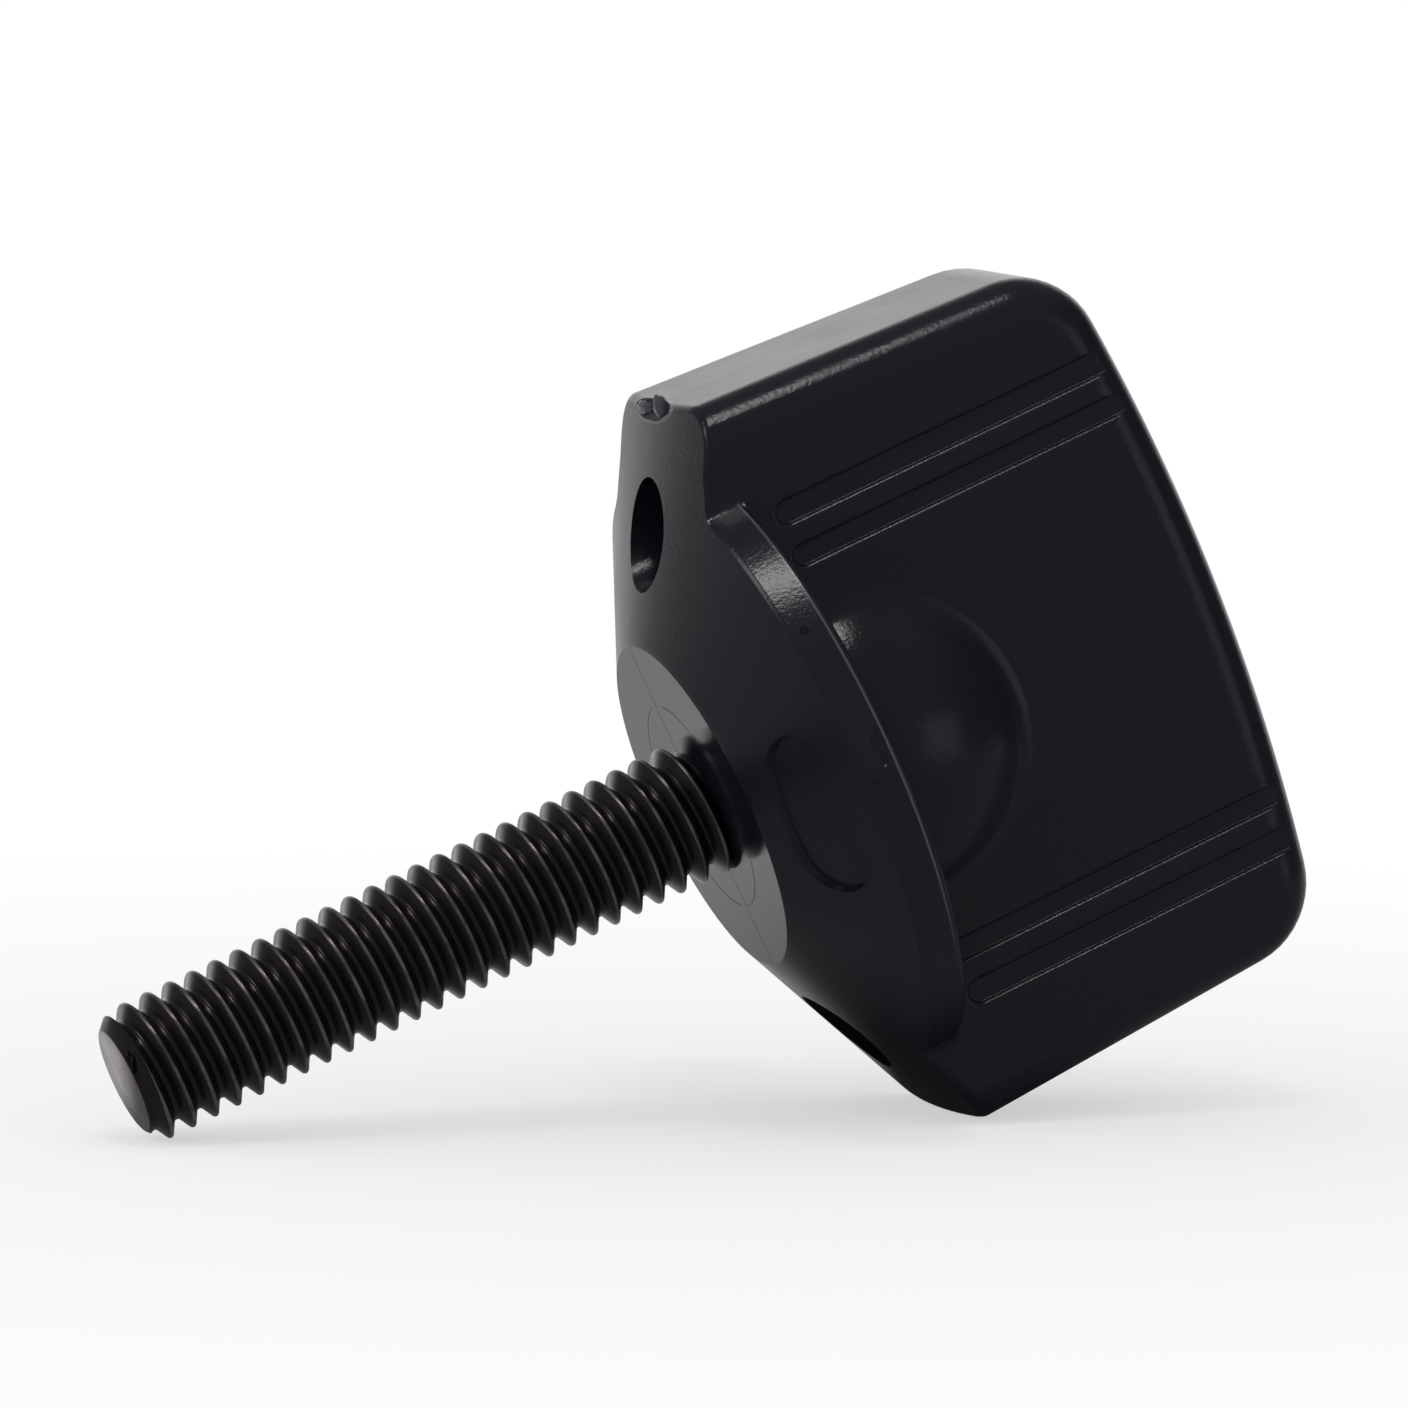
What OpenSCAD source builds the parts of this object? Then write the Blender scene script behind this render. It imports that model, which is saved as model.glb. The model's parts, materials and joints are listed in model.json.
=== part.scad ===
// Wing thumb screw: a moulded plastic grip on a threaded steel stud.
// The stud is a hexagon head bolt, and the grip is moulded round its head.
// The origin is the centre of the seat, the flat ring where the stud leaves the grip.
// The part lies as it comes to rest: on one end of its wings and on the tip of its stud.
// Before it is laid down, X runs along the stud into the grip, Y across the thickness of
// the wings and Z along their span.

/* [Stud] */
// Outer diameter of the stud's thread
stud_d = 7.94; // [6:0.01:9.5]
// Length of stud that stands out of the seat
stud_reach = 36.65; // [20:0.05:60]
// Length of the chamfer at the tip
tip_chamfer = 0.85; // [0.3:0.05:1.5]
// Pitch diameter of the thread, where plastic and steel meet inside the grip
pitch_d = 7.02; // [5:0.01:7.4]
// Length behind the seat over which the thread sinks from its crest to its pitch diameter
thread_sink = 0.7; // [0.3:0.05:2]

/* [Bolt head inside the grip] */
// Distance from the seat to the underside of the head
head_inset = 7.8; // [5:0.05:9]
// Width of the head across its flats
head_flats = 12.7; // [10:0.1:13.5]
// Height of the head
head_h = 5.16; // [3:0.02:7]
// Gap left between plastic and steel as the grip shrinks in its mould
shrink_gap = 0.01; // [0.005:0.005:0.05]

/* [Seat and cone] */
// Diameter of the flat seat round the stud
seat_d = 19.76; // [14:0.02:24]
// Angle by which the front falls back from the seat
cone_angle = 27.3; // [18:0.1:32]

/* [Flange] */
// Diameter of the round flange
flange_d = 36.5; // [32:0.1:38]
// Distance from the seat back to the flange's rear face
flange_back = 6.82; // [6.2:0.02:8]
// Radius of the flange's front edge
flange_front_r = 0.6; // [0.2:0.05:0.9]
// Radius of the flange's rear edge
flange_rear_r = 0.3; // [0.1:0.05:0.5]

/* [Wings] */
// Span over both wings, measured level with the seat
wing_span = 44.8; // [42:0.1:50]
// Distance from the seat to the crown of the wings' back edge
wing_back = 31.65; // [28:0.05:38]
// Thickness of the wings, measured level with the seat
wing_t = 15.8; // [15:0.1:18]
// Draft of the wings' ends, each side
end_draft = 2.8; // [0:0.1:5]
// Draft of the broad faces, each side
face_draft = 2.2; // [0:0.1:3]
// Radius of the crowned back edge
crown_r = 120; // [60:1:400]
// Radius of the wings' rear corners
rear_corner_r = 5; // [3:0.1:8]
// Radius of the wings' front corners
front_corner_r = 0.6; // [0.3:0.1:3]
// Radius of the edges between the broad faces and the ends and back
edge_r = 2.4; // [1:0.1:2.8]

/* [Cored holes] */
// Diameter of the blind hole that is cored into each wing
core_d = 5.8; // [4:0.1:7]
// Distance between the two holes
core_pitch = 31; // [29:0.1:33]
// Distance from the seat to the holes' floors
core_floor = 22; // [12:0.1:25]

/* [Finger grooves] */
// Distance from the middle of the wings to the outer groove
outer_groove_at = 14.8; // [14:0.05:16]
// Width of the outer groove
outer_groove_w = 1.5; // [0.8:0.05:1.8]
// Distance from the middle of the wings to the inner groove
inner_groove_at = 12.2; // [10.5:0.05:12.6]
// Width of the inner groove
inner_groove_w = 1.2; // [0.6:0.05:1.5]
// Depth of the grooves
groove_depth = 0.35; // [0.2:0.05:0.6]
// Distance from the seat to the grooves' front ends
groove_front = 8.4; // [8.2:0.05:12]

/* [Boss] */
// Diameter of the round boss that covers the bolt head
boss_d = 21.9; // [19.5:0.1:24]
// Distance from the seat to the boss's centre
boss_at = 8.3; // [7.5:0.1:11]

/* [Plate recess] */
// Length of the shallow recess in the cone, along the wings' span
recess_len = 9.6; // [6:0.1:12]
// Width of the recess
recess_w = 4.4; // [3:0.1:4.6]
// Distance from the stud's axis to the middle of the recess
recess_at = 13.8; // [13:0.05:14.4]
// Depth of the recess, along the stud
recess_depth = 0.6; // [0.2:0.05:0.8]

/* [Hidden] */
$fn = 96;
edge_steps = 5;
crown_steps = 8;
margin = 1;
// Small step that keeps two faces from touching along a tangent
relief = 0.03;

seat_r = seat_d / 2;
stud_r = stud_d / 2;
pitch_r = pitch_d / 2;
flange_r = flange_d / 2;
blank_r = wing_span / 2 + wing_t / 2;
blank_back = wing_back + margin;

function dir(a) = [cos(a), sin(a)];
// An arc as a list of points, from one angle to another
function arc(centre, r, from, to, steps) =
    [for (i = [0:steps]) centre + r * dir(from + (to - from) * i / steps)];
// The point where two lines cross, each given by its normal's angle and its distance
function crossing(a1, d1, a2, d2) =
    [d1 * sin(a2) - d2 * sin(a1), d2 * cos(a1) - d1 * cos(a2)] / sin(a2 - a1);
// A half outline's other half, in the opposite order and without the point they share
function flipped(points) = [for (i = [len(points) - 2:-1:0]) [points[i].x, -points[i].y]];

// Lines and centres of the wings' outline, which is drawn with X from the seat and Y along
// the span. A line is held as the angle of its normal and its distance from the origin.
cone_side = 180 - cone_angle;
cone_dist = seat_r * sin(cone_angle) + relief;
end_side = 90 - end_draft;
end_dist = wing_span / 2 * cos(end_draft);
crown_centre = [wing_back - crown_r, 0];
end_foot = (end_dist - rear_corner_r) * dir(end_side) - crown_centre;
end_along = dir(-end_draft);
end_run = sqrt(pow(crown_r - rear_corner_r, 2) - end_foot * end_foot
    + pow(end_foot * end_along, 2)) - end_foot * end_along;
rear_corner = crown_centre + end_foot + end_run * end_along;
rear_side = atan2(rear_corner.y, rear_corner.x - crown_centre.x);

// Centre of the front corner's arc, which slides down the cone as the end draws in
function front_corner(inset) =
    crossing(cone_side, cone_dist - front_corner_r, end_side, end_dist - front_corner_r - inset);

// Half the outline of the wings, with the end and the back drawn in by an inset
function half_outline(inset) = concat(
    [crossing(cone_side, cone_dist, 180, margin)],
    arc(front_corner(inset), front_corner_r, cone_side, end_side, edge_steps),
    arc(rear_corner, rear_corner_r - inset, end_side, rear_side, edge_steps),
    arc(crown_centre, crown_r - inset, rear_side, 0, crown_steps));

// Angle between the stud and the floor as the part lies. The floor touches the thread
// behind the tip's chamfer and the round front corner of the lower wing.
lie_run = front_corner(0).x + stud_reach - tip_chamfer;
lie_drop = front_corner(0).y - stud_r;
lie = atan2(lie_drop, lie_run) + asin(front_corner_r / norm([lie_run, lie_drop]));

// A solid turned round the stud's axis, from points of X and radius
module turned(profile) {
    rotate([0, 90, 0]) rotate_extrude() polygon([for (p = profile) [p.y, p.x]]);
}

// A cylinder along the stud's axis
module rod(from, to, d, fn = $fn) {
    translate([from, 0, 0]) rotate([0, 90, 0]) cylinder(h = to - from, d = d, $fn = fn);
}

// Everything behind the seat and the cone
module behind_cone() {
    turned([
        [0, 0],
        [0, seat_r],
        [(blank_r - seat_r) * tan(cone_angle), blank_r],
        [blank_back, blank_r],
        [blank_back, 0]
    ]);
}

// The wings' outline as one ring of points, at a height over their middle plane. The ring
// leans with the broad face's draft, and side is -1 for the near face and 1 for the far one.
function wing_ring(rise, inset, side) =
    let (half = half_outline(inset))
    [for (p = concat(half, flipped(half))) [p.x, side * (rise - p.x * tan(face_draft)), p.y]];
// The rings of one side's rounded edge, from the straight end up. The last one stands over
// the broad face, on the line of the last step, so that the face is cut by a true plane.
function edge_rings(side) = [for (i = [0:edge_steps])
    let (
        last_step = 90 * (edge_steps - 1) / edge_steps,
        over = i == edge_steps ? 1 : 0,
        a = 90 * i / edge_steps,
        rise = edge_r * (sin(a) + over * (1 - sin(last_step))),
        inset = edge_r * (1 - cos(a) + over * cos(last_step))
    )
    wing_ring(wing_t / 2 - edge_r + rise, inset, side)];
function reversed(list) = [for (i = [len(list) - 1:-1:0]) list[i]];

// A solid with its skin drawn over rings of points, from the first ring to the last
module skinned(rings) {
    n = len(rings[0]);
    last = len(rings) - 1;
    polyhedron(
        points = [for (r = rings) each r],
        faces = concat(
            [[for (k = [0:n - 1]) k]],
            [[for (k = [n - 1:-1:0]) last * n + k]],
            [for (j = [0:last - 1], k = [0:n - 1])
                let (here = j * n, next = (k + 1) % n)
                each [
                    [here + k, here + n + next, here + next],
                    [here + k, here + n + k, here + n + next]
                ]]));
}

// The wedge between the two broad faces
module between_faces() {
    front = wing_t / 2 + margin * tan(face_draft);
    back = wing_t / 2 - blank_back * tan(face_draft);
    translate([0, 0, -blank_r])
        linear_extrude(2 * blank_r)
            polygon([[-margin, -front], [blank_back, -back], [blank_back, back], [-margin, front]]);
}

module wings() {
    intersection() {
        skinned(concat(reversed(edge_rings(-1)), edge_rings(1)));
        between_faces();
    }
}

// A copy on each side of the wings
module both_faces() {
    children();
    mirror([0, 1, 0]) children();
}

module flange() {
    front = crossing(cone_side, cone_dist - flange_front_r, 90, flange_r - flange_front_r);
    rear = [flange_back - flange_rear_r, flange_r - flange_rear_r];
    front_edge = arc(front, flange_front_r, cone_side, 90, edge_steps);
    turned(concat(
        [[-margin, 0], [-margin, front_edge[0].y]],
        front_edge,
        arc(rear, flange_rear_r, 90, 0, edge_steps),
        [[flange_back, 0]]));
}

module boss() {
    translate([boss_at, 0, 0]) sphere(d = boss_d);
}

// The bolt's shank as points of X and radius, from its front points to inside its head. The
// plastic fills the thread, so behind the seat the shank is drawn at the pitch diameter.
function shank(front, grow) = concat(front, [
    [0, stud_r + grow],
    [thread_sink, pitch_r + grow],
    [head_inset + head_h / 2, pitch_r + grow],
    [head_inset + head_h / 2, 0]
]);

module bolt_head(grow) {
    rod(head_inset - grow, head_inset + head_h + grow,
        (head_flats + 2 * grow) / cos(30), 6);
}

// The room that the bolt takes up inside the plastic
module bolt_room() {
    turned(shank([[-margin, 0], [-margin, stud_r + shrink_gap]], shrink_gap));
    bolt_head(shrink_gap);
}

module cored_holes() {
    for (side = [-1, 1])
        translate([0, 0, side * core_pitch / 2]) rod(-margin, core_floor, core_d);
}

// A groove with a round front end, which runs out over the rounded back edge
module groove(at, width) {
    translate([groove_front + width / 2, at, -groove_depth]) {
        cylinder(h = groove_depth + margin, d = width);
        translate([0, -width / 2, 0])
            cube([blank_back - groove_front, width, groove_depth + margin]);
    }
}

// The grooves of one broad face
module face_grooves() {
    rotate([90, 0, 0]) translate([0, 0, wing_t / 2]) rotate([0, face_draft, 0])
        for (side = [-1, 1]) {
            groove(side * outer_groove_at, outer_groove_w);
            groove(side * inner_groove_at, inner_groove_w);
        }
}

// A round-ended recess, whose floor follows the cone at an even depth
module plate_recess() {
    straight = recess_len - recess_w;
    difference() {
        translate([0, -recess_at, 0]) {
            translate([-margin, -recess_w / 2, -straight / 2])
                cube([wing_back, recess_w, straight]);
            for (side = [-1, 1])
                translate([0, 0, side * straight / 2]) rod(-margin, wing_back - margin, recess_w);
        }
        translate([recess_depth, 0, 0]) behind_cone();
    }
}

// The flange stands on the wings, and the boss on both
module grip_blank() {
    union() {
        wings();
        flange();
    }
    boss();
}

module grip() {
    color([0.07, 0.07, 0.08])
        difference() {
            intersection() {
                grip_blank();
                behind_cone();
            }
            bolt_room();
            cored_holes();
            both_faces() face_grooves();
            plate_recess();
        }
}

module stud() {
    tip = [
        [-stud_reach, 0],
        [-stud_reach, stud_r - tip_chamfer],
        [-stud_reach + tip_chamfer, stud_r]
    ];
    color([0.12, 0.12, 0.13]) {
        turned(shank(tip, 0));
        bolt_head(0);
    }
}

module laid() {
    rotate([0, -lie, 0]) children();
}

laid() grip();
laid() stud();
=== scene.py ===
# %% [markdown]
# A thumb screw, dressed for the camera.
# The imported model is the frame. It says where each piece is, how it lies and how large it is,
# and this script gives each piece the surface that the real one has.

# %% Load the frame
import json
import math

import bmesh
import bpy
from mathutils import Matrix, Vector, noise


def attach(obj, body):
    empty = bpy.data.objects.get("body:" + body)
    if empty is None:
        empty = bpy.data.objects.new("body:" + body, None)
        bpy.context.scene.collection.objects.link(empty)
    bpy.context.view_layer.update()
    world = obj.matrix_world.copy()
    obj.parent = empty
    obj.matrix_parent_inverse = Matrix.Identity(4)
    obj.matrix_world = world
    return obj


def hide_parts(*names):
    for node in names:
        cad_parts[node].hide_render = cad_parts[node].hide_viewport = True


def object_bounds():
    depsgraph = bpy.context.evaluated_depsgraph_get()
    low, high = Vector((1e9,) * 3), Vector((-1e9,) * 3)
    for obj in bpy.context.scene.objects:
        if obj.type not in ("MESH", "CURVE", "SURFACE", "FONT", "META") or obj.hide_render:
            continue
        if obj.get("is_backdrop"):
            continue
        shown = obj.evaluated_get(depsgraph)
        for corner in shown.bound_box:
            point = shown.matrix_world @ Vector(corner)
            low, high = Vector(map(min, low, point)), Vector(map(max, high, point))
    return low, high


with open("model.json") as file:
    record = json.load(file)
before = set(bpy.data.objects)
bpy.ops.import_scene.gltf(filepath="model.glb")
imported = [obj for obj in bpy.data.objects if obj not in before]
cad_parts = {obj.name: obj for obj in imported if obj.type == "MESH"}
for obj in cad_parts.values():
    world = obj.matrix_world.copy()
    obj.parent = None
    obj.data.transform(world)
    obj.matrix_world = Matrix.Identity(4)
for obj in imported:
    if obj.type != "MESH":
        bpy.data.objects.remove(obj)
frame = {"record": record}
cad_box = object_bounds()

for name in ("Cube", "Light", "Camera"):
    if name in bpy.data.objects:
        bpy.data.objects.remove(bpy.data.objects[name])

# %% [markdown]
# The screw lies tilted, on one wing and on the tip of its stud, but it is easier to draw
# along its own axis. Each piece is drawn in millimetres, with X along the stud into the
# grip, Y across the wings' thickness and Z along their span. One matrix then lays it down.
# The tilt isn't typed in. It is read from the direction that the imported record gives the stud.

# %% Units and the way the screw lies
MM = 0.001
TAU = math.tau
stud_axis = next(m["axis"] for m in frame["record"]["mounts"] if m["name"] == "stud")
lie = math.atan2(-stud_axis[2], -stud_axis[0])
laid = Matrix.Rotation(-lie, 4, "Y") @ Matrix.Scale(MM, 4)
print("the stud leans", round(math.degrees(lie), 2), "degrees")

# %% [markdown]
# The grip is one moulding of black plastic: a flange with a conical front, a flat seat round
# the stud, and two wings that stand out to both sides. It could be shaped freely by eye, but
# moulded parts are drawn from straight lines, arcs and draft angles, so it is built from the
# same few sizes that the part's source has. The wings come first. The margin is how far a
# rough shape reaches past the place where it is cut off later.

# %% Sizes of the wings
wing_half = 22.4
wing_back = 31.65
wing_t = 15.8
end_draft = 2.8
face_draft = 2.2
crown_r = 120.0
rear_corner_r = 5.0
edge_r = 2.4
margin = 2.0
print("wings", 2 * wing_half, "mm long,", wing_t, "mm thick and", wing_back, "mm deep")

# %% [markdown]
# The wings' ends lean in by their draft, so the outline's corners lie where slanting lines
# cross. A line is easiest to hold as the angle of its normal and its distance from the centre.
# Arcs are held by their centre, radius and angles, as on a drawing.

# %% Lines and arcs of a drawing
def dir2(degrees):
    """A unit step in a drawing's plane."""
    a = math.radians(degrees)
    return Vector((math.cos(a), math.sin(a)))


def arc(centre, r, start, end, steps):
    """Points along an arc, from one angle to another."""
    return [Vector(centre) + r * dir2(start + (end - start) * i / steps) for i in range(steps + 1)]


def crossing(angle_a, far_a, angle_b, far_b):
    """The point where two lines cross, each given by its normal's angle and its distance."""
    a, b = dir2(angle_a), dir2(angle_b)
    turn = a.x * b.y - a.y * b.x
    return Vector((far_a * b.y - far_b * a.y, far_b * a.x - far_a * b.x)) / turn


end_side = 90 - end_draft
end_dist = wing_half * math.cos(math.radians(end_draft))
front_point = crossing(end_side, end_dist, 180, margin)
print("the outline starts at", [round(n, 2) for n in front_point])

# %% [markdown]
# Half the outline is a straight end with draft, a round rear corner and a crowned back edge.
# The round corner touches both, so its centre lies on a line beside the end, at the place
# where its distance from the crown's centre is the difference of their radii.

# %% Half the outline of the wings
crown_c = Vector((wing_back - crown_r, 0))
end_foot = (end_dist - rear_corner_r) * dir2(end_side) - crown_c
end_along = dir2(-end_draft)
foot_part = end_foot.dot(end_along)
end_run = math.sqrt((crown_r - rear_corner_r) ** 2 - end_foot.dot(end_foot) + foot_part ** 2) - foot_part
corner_c = crown_c + end_foot + end_run * end_along
rear_side = math.degrees(math.atan2(corner_c.y, corner_c.x - crown_c.x))
corner_points = arc(corner_c, rear_corner_r, end_side, rear_side, 10)
crown_points = arc(crown_c, crown_r, rear_side, 0, 16)
half_outline = [front_point] + corner_points + crown_points[1:]
print("half the outline has", len(half_outline), "points")

# %% [markdown]
# The operators give back mixed lists of points, edges and faces, and a few short helpers pick
# what is needed from them. Two distances go with them: points closer than the weld are one
# point, and a cut takes what is closer than tiny as lying on its plane.

# %% Small helpers for meshes
tiny = 1e-5
weld = 1e-4


def line_of(bm, points):
    """Draws points joined by edges, and gives both."""
    verts = [bm.verts.new(p) for p in points]
    return verts, [bm.edges.new(pair) for pair in zip(verts, verts[1:])]


def verts_in(geom):
    return [g for g in geom if isinstance(g, bmesh.types.BMVert)]


def edges_in(geom):
    return [g for g in geom if isinstance(g, bmesh.types.BMEdge)]


def everything(bm):
    return bm.verts[:] + bm.edges[:] + bm.faces[:]


def open_edges(bm):
    return sum(len(e.link_faces) != 2 for e in bm.edges)


# %% [markdown]
# The wings are one slab. The half outline is mirrored, filled and extruded, both broad faces
# are cut to their draft, and a bevel rounds the long edges round them. The slab stays square
# at its front, which is cut off later. Three cuts across divide its long faces.

# %% Slab of the wings
def drafted_slab():
    bm = bmesh.new()
    depth = wing_t / 2 + margin
    verts, edges = line_of(bm, [(p.x, -depth, p.y) for p in half_outline])
    bmesh.ops.mirror(bm, geom=verts + edges, axis="Z", merge_dist=weld)
    bm.verts.ensure_lookup_table()
    bm.edges.new([v for v in bm.verts if len(v.link_edges) == 1])
    side = bmesh.ops.contextual_create(bm, geom=bm.edges[:])["faces"]
    grown = bmesh.ops.extrude_face_region(bm, geom=side)["geom"]
    bmesh.ops.translate(bm, vec=(0, 2 * depth, 0), verts=verts_in(grown))
    tilt = math.radians(face_draft)
    for way in (-1, 1):
        cut = bmesh.ops.bisect_plane(
            bm, geom=everything(bm), dist=tiny, plane_co=(0, way * wing_t / 2, 0),
            plane_no=(math.sin(tilt), way * math.cos(tilt), 0), clear_outer=True)
        bmesh.ops.contextual_create(bm, geom=edges_in(cut["geom_cut"]))
    bmesh.ops.recalc_face_normals(bm, faces=bm.faces)
    return bm


def wing_slab():
    bm = drafted_slab()
    square_front = 0.01 - margin
    broad = {f for f in bm.faces if abs(f.normal.y) > 0.9}
    long_edges = [e for e in bm.edges if broad.intersection(e.link_faces)
                  and max(v.co.x for v in e.verts) > square_front]
    bmesh.ops.bevel(bm, geom=long_edges, offset=edge_r, segments=8, profile=0.5,
                    affect="EDGES", material=-1, clamp_overlap=False)
    for place in (-8.0, 0.0, 8.0):
        bmesh.ops.bisect_plane(bm, geom=everything(bm), dist=tiny, plane_co=(0, 0, place), plane_no=(0, 0, 1))
    return bm


slab = wing_slab()
print("slab", len(slab.faces), "faces, volume", round(slab.calc_volume(), 1))

# %% [markdown]
# Turned shapes start as a line of points, which spin takes once round the stud's axis. The
# ends on the axis fold into poles, so their doubled points are merged.

# %% Turn a profile round the stud's axis
def turned(points, steps=192):
    """A closed solid, from points of X and radius."""
    bm = bmesh.new()
    verts, edges = line_of(bm, [(x, 0, r) for x, r in points])
    bmesh.ops.spin(bm, geom=verts + edges, cent=(0, 0, 0), axis=(1, 0, 0),
                   angle=TAU, steps=steps, use_merge=True)
    bmesh.ops.remove_doubles(bm, verts=bm.verts, dist=weld)
    bmesh.ops.recalc_face_normals(bm, faces=bm.faces)
    return bm


# %% [markdown]
# The flange is a thick disc, so it is turned. Its front edge isn't one round but a narrow
# chamfer between two small rounds, and in the light each round draws its own fine line. Its
# front stands a hair before the cone, which the cone's cut takes off later.

# %% Flange
seat_r = 9.88
cone_angle = 27.3
flange_r = 18.25
flange_back = 6.82


def flange():
    relief, front_r, chamfer_in, rear_r = 0.02, 0.12, 0.09, 0.4
    cone_side = 180 - cone_angle
    chamfer_side = (cone_side + 90) / 2
    cone_far = seat_r * math.sin(math.radians(cone_angle)) + relief
    chamfer_far = crossing(cone_side, cone_far, 90, flange_r).dot(dir2(chamfer_side)) - chamfer_in
    low = crossing(cone_side, cone_far - front_r, chamfer_side, chamfer_far - front_r)
    high = crossing(chamfer_side, chamfer_far - front_r, 90, flange_r - front_r)
    nose = arc(low, front_r, cone_side, chamfer_side, 5) + arc(high, front_r, chamfer_side, 90, 5)
    rear = arc((flange_back - rear_r, flange_r - rear_r), rear_r, 90, 0, 6)
    return turned([(-margin, 0), (-margin, nose[0].y)] + nose + rear + [(flange_back, 0)])


disc = flange()
print("flange", len(disc.faces), "faces,", open_edges(disc), "open edges")

# %% [markdown]
# The cone and the seat are one turned shape as well: an envelope of everything behind them,
# which the whole grip is cut down to. The fine ring on the seat is the mark that the edge of
# an insert in the mould leaves.

# %% Cone and seat
cone_slope = math.tan(math.radians(cone_angle))


def envelope(shift=0.0):
    reach, far_back = 40.0, 60.0
    ring_r, ring_w, ring_d = 6.2, 0.035, 0.03
    ring = [(shift, ring_r - ring_w), (shift + ring_d, ring_r), (shift, ring_r + ring_w)]
    cone = [(shift, seat_r), (shift + (reach - seat_r) * cone_slope, reach)]
    return turned([(shift, 0)] + ring + cone + [(far_back, reach), (far_back, 0)])


print("the cone falls back", round((flange_r - seat_r) * cone_slope, 2), "mm to the flange's rim")

# %% [markdown]
# On each broad face a low round boss covers the head of the bolt that is moulded in. Its dome
# is part of a sphere, and a hollow ring leads it into the face. Both are arcs of one profile,
# spun about a line that stands square on the slanting face.

# %% Boss over the bolt head
boss_r = 10.95
boss_high = 4.1
boss_at = 8.3


def skin_at(x):
    """How far the broad face stands from the middle plane."""
    return wing_t / 2 - x * math.tan(math.radians(face_draft))


def boss_profile():
    """The dome, the hollow round it and a root in the wing, as distance and height."""
    hollow_r, sink, root = 2.5, 0.02, 1
    below = boss_r - boss_high
    centre_h = hollow_r - sink
    reach = math.sqrt((boss_r + hollow_r) ** 2 - (below + centre_h) ** 2)
    touch = math.degrees(math.atan2(below + centre_h, reach))
    dome = arc((0, -below), boss_r, 90, touch, 24)
    hollow = arc((reach, centre_h), hollow_r, touch + 180, 270, 10)
    return dome + hollow[1:] + [Vector((reach, -root)), Vector((0, -root))]


def boss(way):
    tilt = math.radians(face_draft)
    depth = skin_at(boss_at) * math.cos(tilt)
    bm = bmesh.new()
    verts, edges = line_of(bm, [(p.x, 0, p.y) for p in boss_profile()])
    bmesh.ops.spin(bm, geom=verts + edges, cent=(0, 0, 0), axis=(0, 0, 1),
                   angle=TAU, steps=144, use_merge=True)
    bmesh.ops.remove_doubles(bm, verts=bm.verts, dist=weld)
    stand = Matrix.Translation((boss_at, 0, 0)) @ Matrix.Rotation(-way * tilt, 4, "Z") \
        @ Matrix.Translation((0, way * depth, 0)) @ Matrix.Rotation(-way * TAU / 4, 4, "X")
    bmesh.ops.transform(bm, matrix=stand, verts=bm.verts)
    bmesh.ops.recalc_face_normals(bm, faces=bm.faces)
    return bm


print("the boss stands", boss_high, "mm over the face, which is", round(skin_at(boss_at), 2), "mm out")

# %% [markdown]
# Where the flange's rim runs into a broad face, a small fillet fills the inner corner, and it
# catches the light as a short line. A bevel would have to cross the rim's narrow faces here,
# so the fillet is a bar instead: its section is the corner that is left outside an arc, and
# it is extruded along the broad face's draft.

# %% Fillet beside the rim
fillet_r = 1.4


def corner_fillet(way, end):
    root, stop_short = 1, 0.1
    face_y = skin_at(0)
    centre_y = face_y + fillet_r
    centre_z = math.sqrt((flange_r + fillet_r) ** 2 - centre_y ** 2)
    lean = math.degrees(math.atan2(centre_y, centre_z))
    points = arc((centre_z, centre_y), fillet_r, 180 + lean, 270, 6)
    points += [Vector((centre_z, face_y - root)), (flange_r - root) * dir2(lean)]
    bm = bmesh.new()
    verts, edges = line_of(bm, [(0, way * p.y, end * p.x) for p in points])
    bm.edges.new((verts[-1], verts[0]))
    side = bmesh.ops.contextual_create(bm, geom=bm.edges[:])["faces"]
    grown = bmesh.ops.extrude_face_region(bm, geom=side)["geom"]
    length = flange_back - stop_short
    bmesh.ops.translate(bm, vec=(length, -way * length * math.tan(math.radians(face_draft)), 0),
                        verts=verts_in(grown))
    bmesh.ops.recalc_face_normals(bm, faces=bm.faces)
    return bm


print("fillets of", fillet_r, "mm")

# %% [markdown]
# Shapes are joined and cut with the Boolean modifier. It works on objects, so two short-lived
# ones carry the shapes, and only the result is kept. Each step prints its volume and counts
# the edges that don't have two faces, because an open edge would spoil the next step.

# %% Join and cut shapes
def as_object(bm, name):
    mesh = bpy.data.meshes.new(name)
    bm.to_mesh(mesh)
    bm.free()
    obj = bpy.data.objects.new(name, mesh)
    bpy.context.scene.collection.objects.link(obj)
    return obj


def combined(bm, tool, operation):
    """Joins a tool to a shape, cuts it out or keeps what both share."""
    body, other = as_object(bm, "body"), as_object(tool, "tool")
    step = body.modifiers.new("combine", "BOOLEAN")
    step.object, step.operation, step.solver = other, operation, "MANIFOLD"
    graph = bpy.context.evaluated_depsgraph_get()
    result = bmesh.new()
    result.from_mesh(body.evaluated_get(graph).to_mesh())
    for obj in (body, other):
        mesh = obj.data
        bpy.data.objects.remove(obj)
        bpy.data.meshes.remove(mesh)
    print(operation.lower(), len(result.faces), "faces,", round(result.calc_volume(), 1), "mm3,",
          open_edges(result), "open edges")
    return result


# %% [markdown]
# The grip is put together as the mould maker would see it: wings, flange, fillets and bosses
# become one block, and the envelope then cuts the front to its cone and seat.

# %% Join the wings, the flange, the fillets and the bosses
grip = combined(slab, disc, "UNION")
for way in (-1, 1):
    for end in (-1, 1):
        grip = combined(grip, corner_fillet(way, end), "UNION")
for way in (-1, 1):
    grip = combined(grip, boss(way), "UNION")
grip = combined(grip, envelope(), "INTERSECT")

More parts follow.
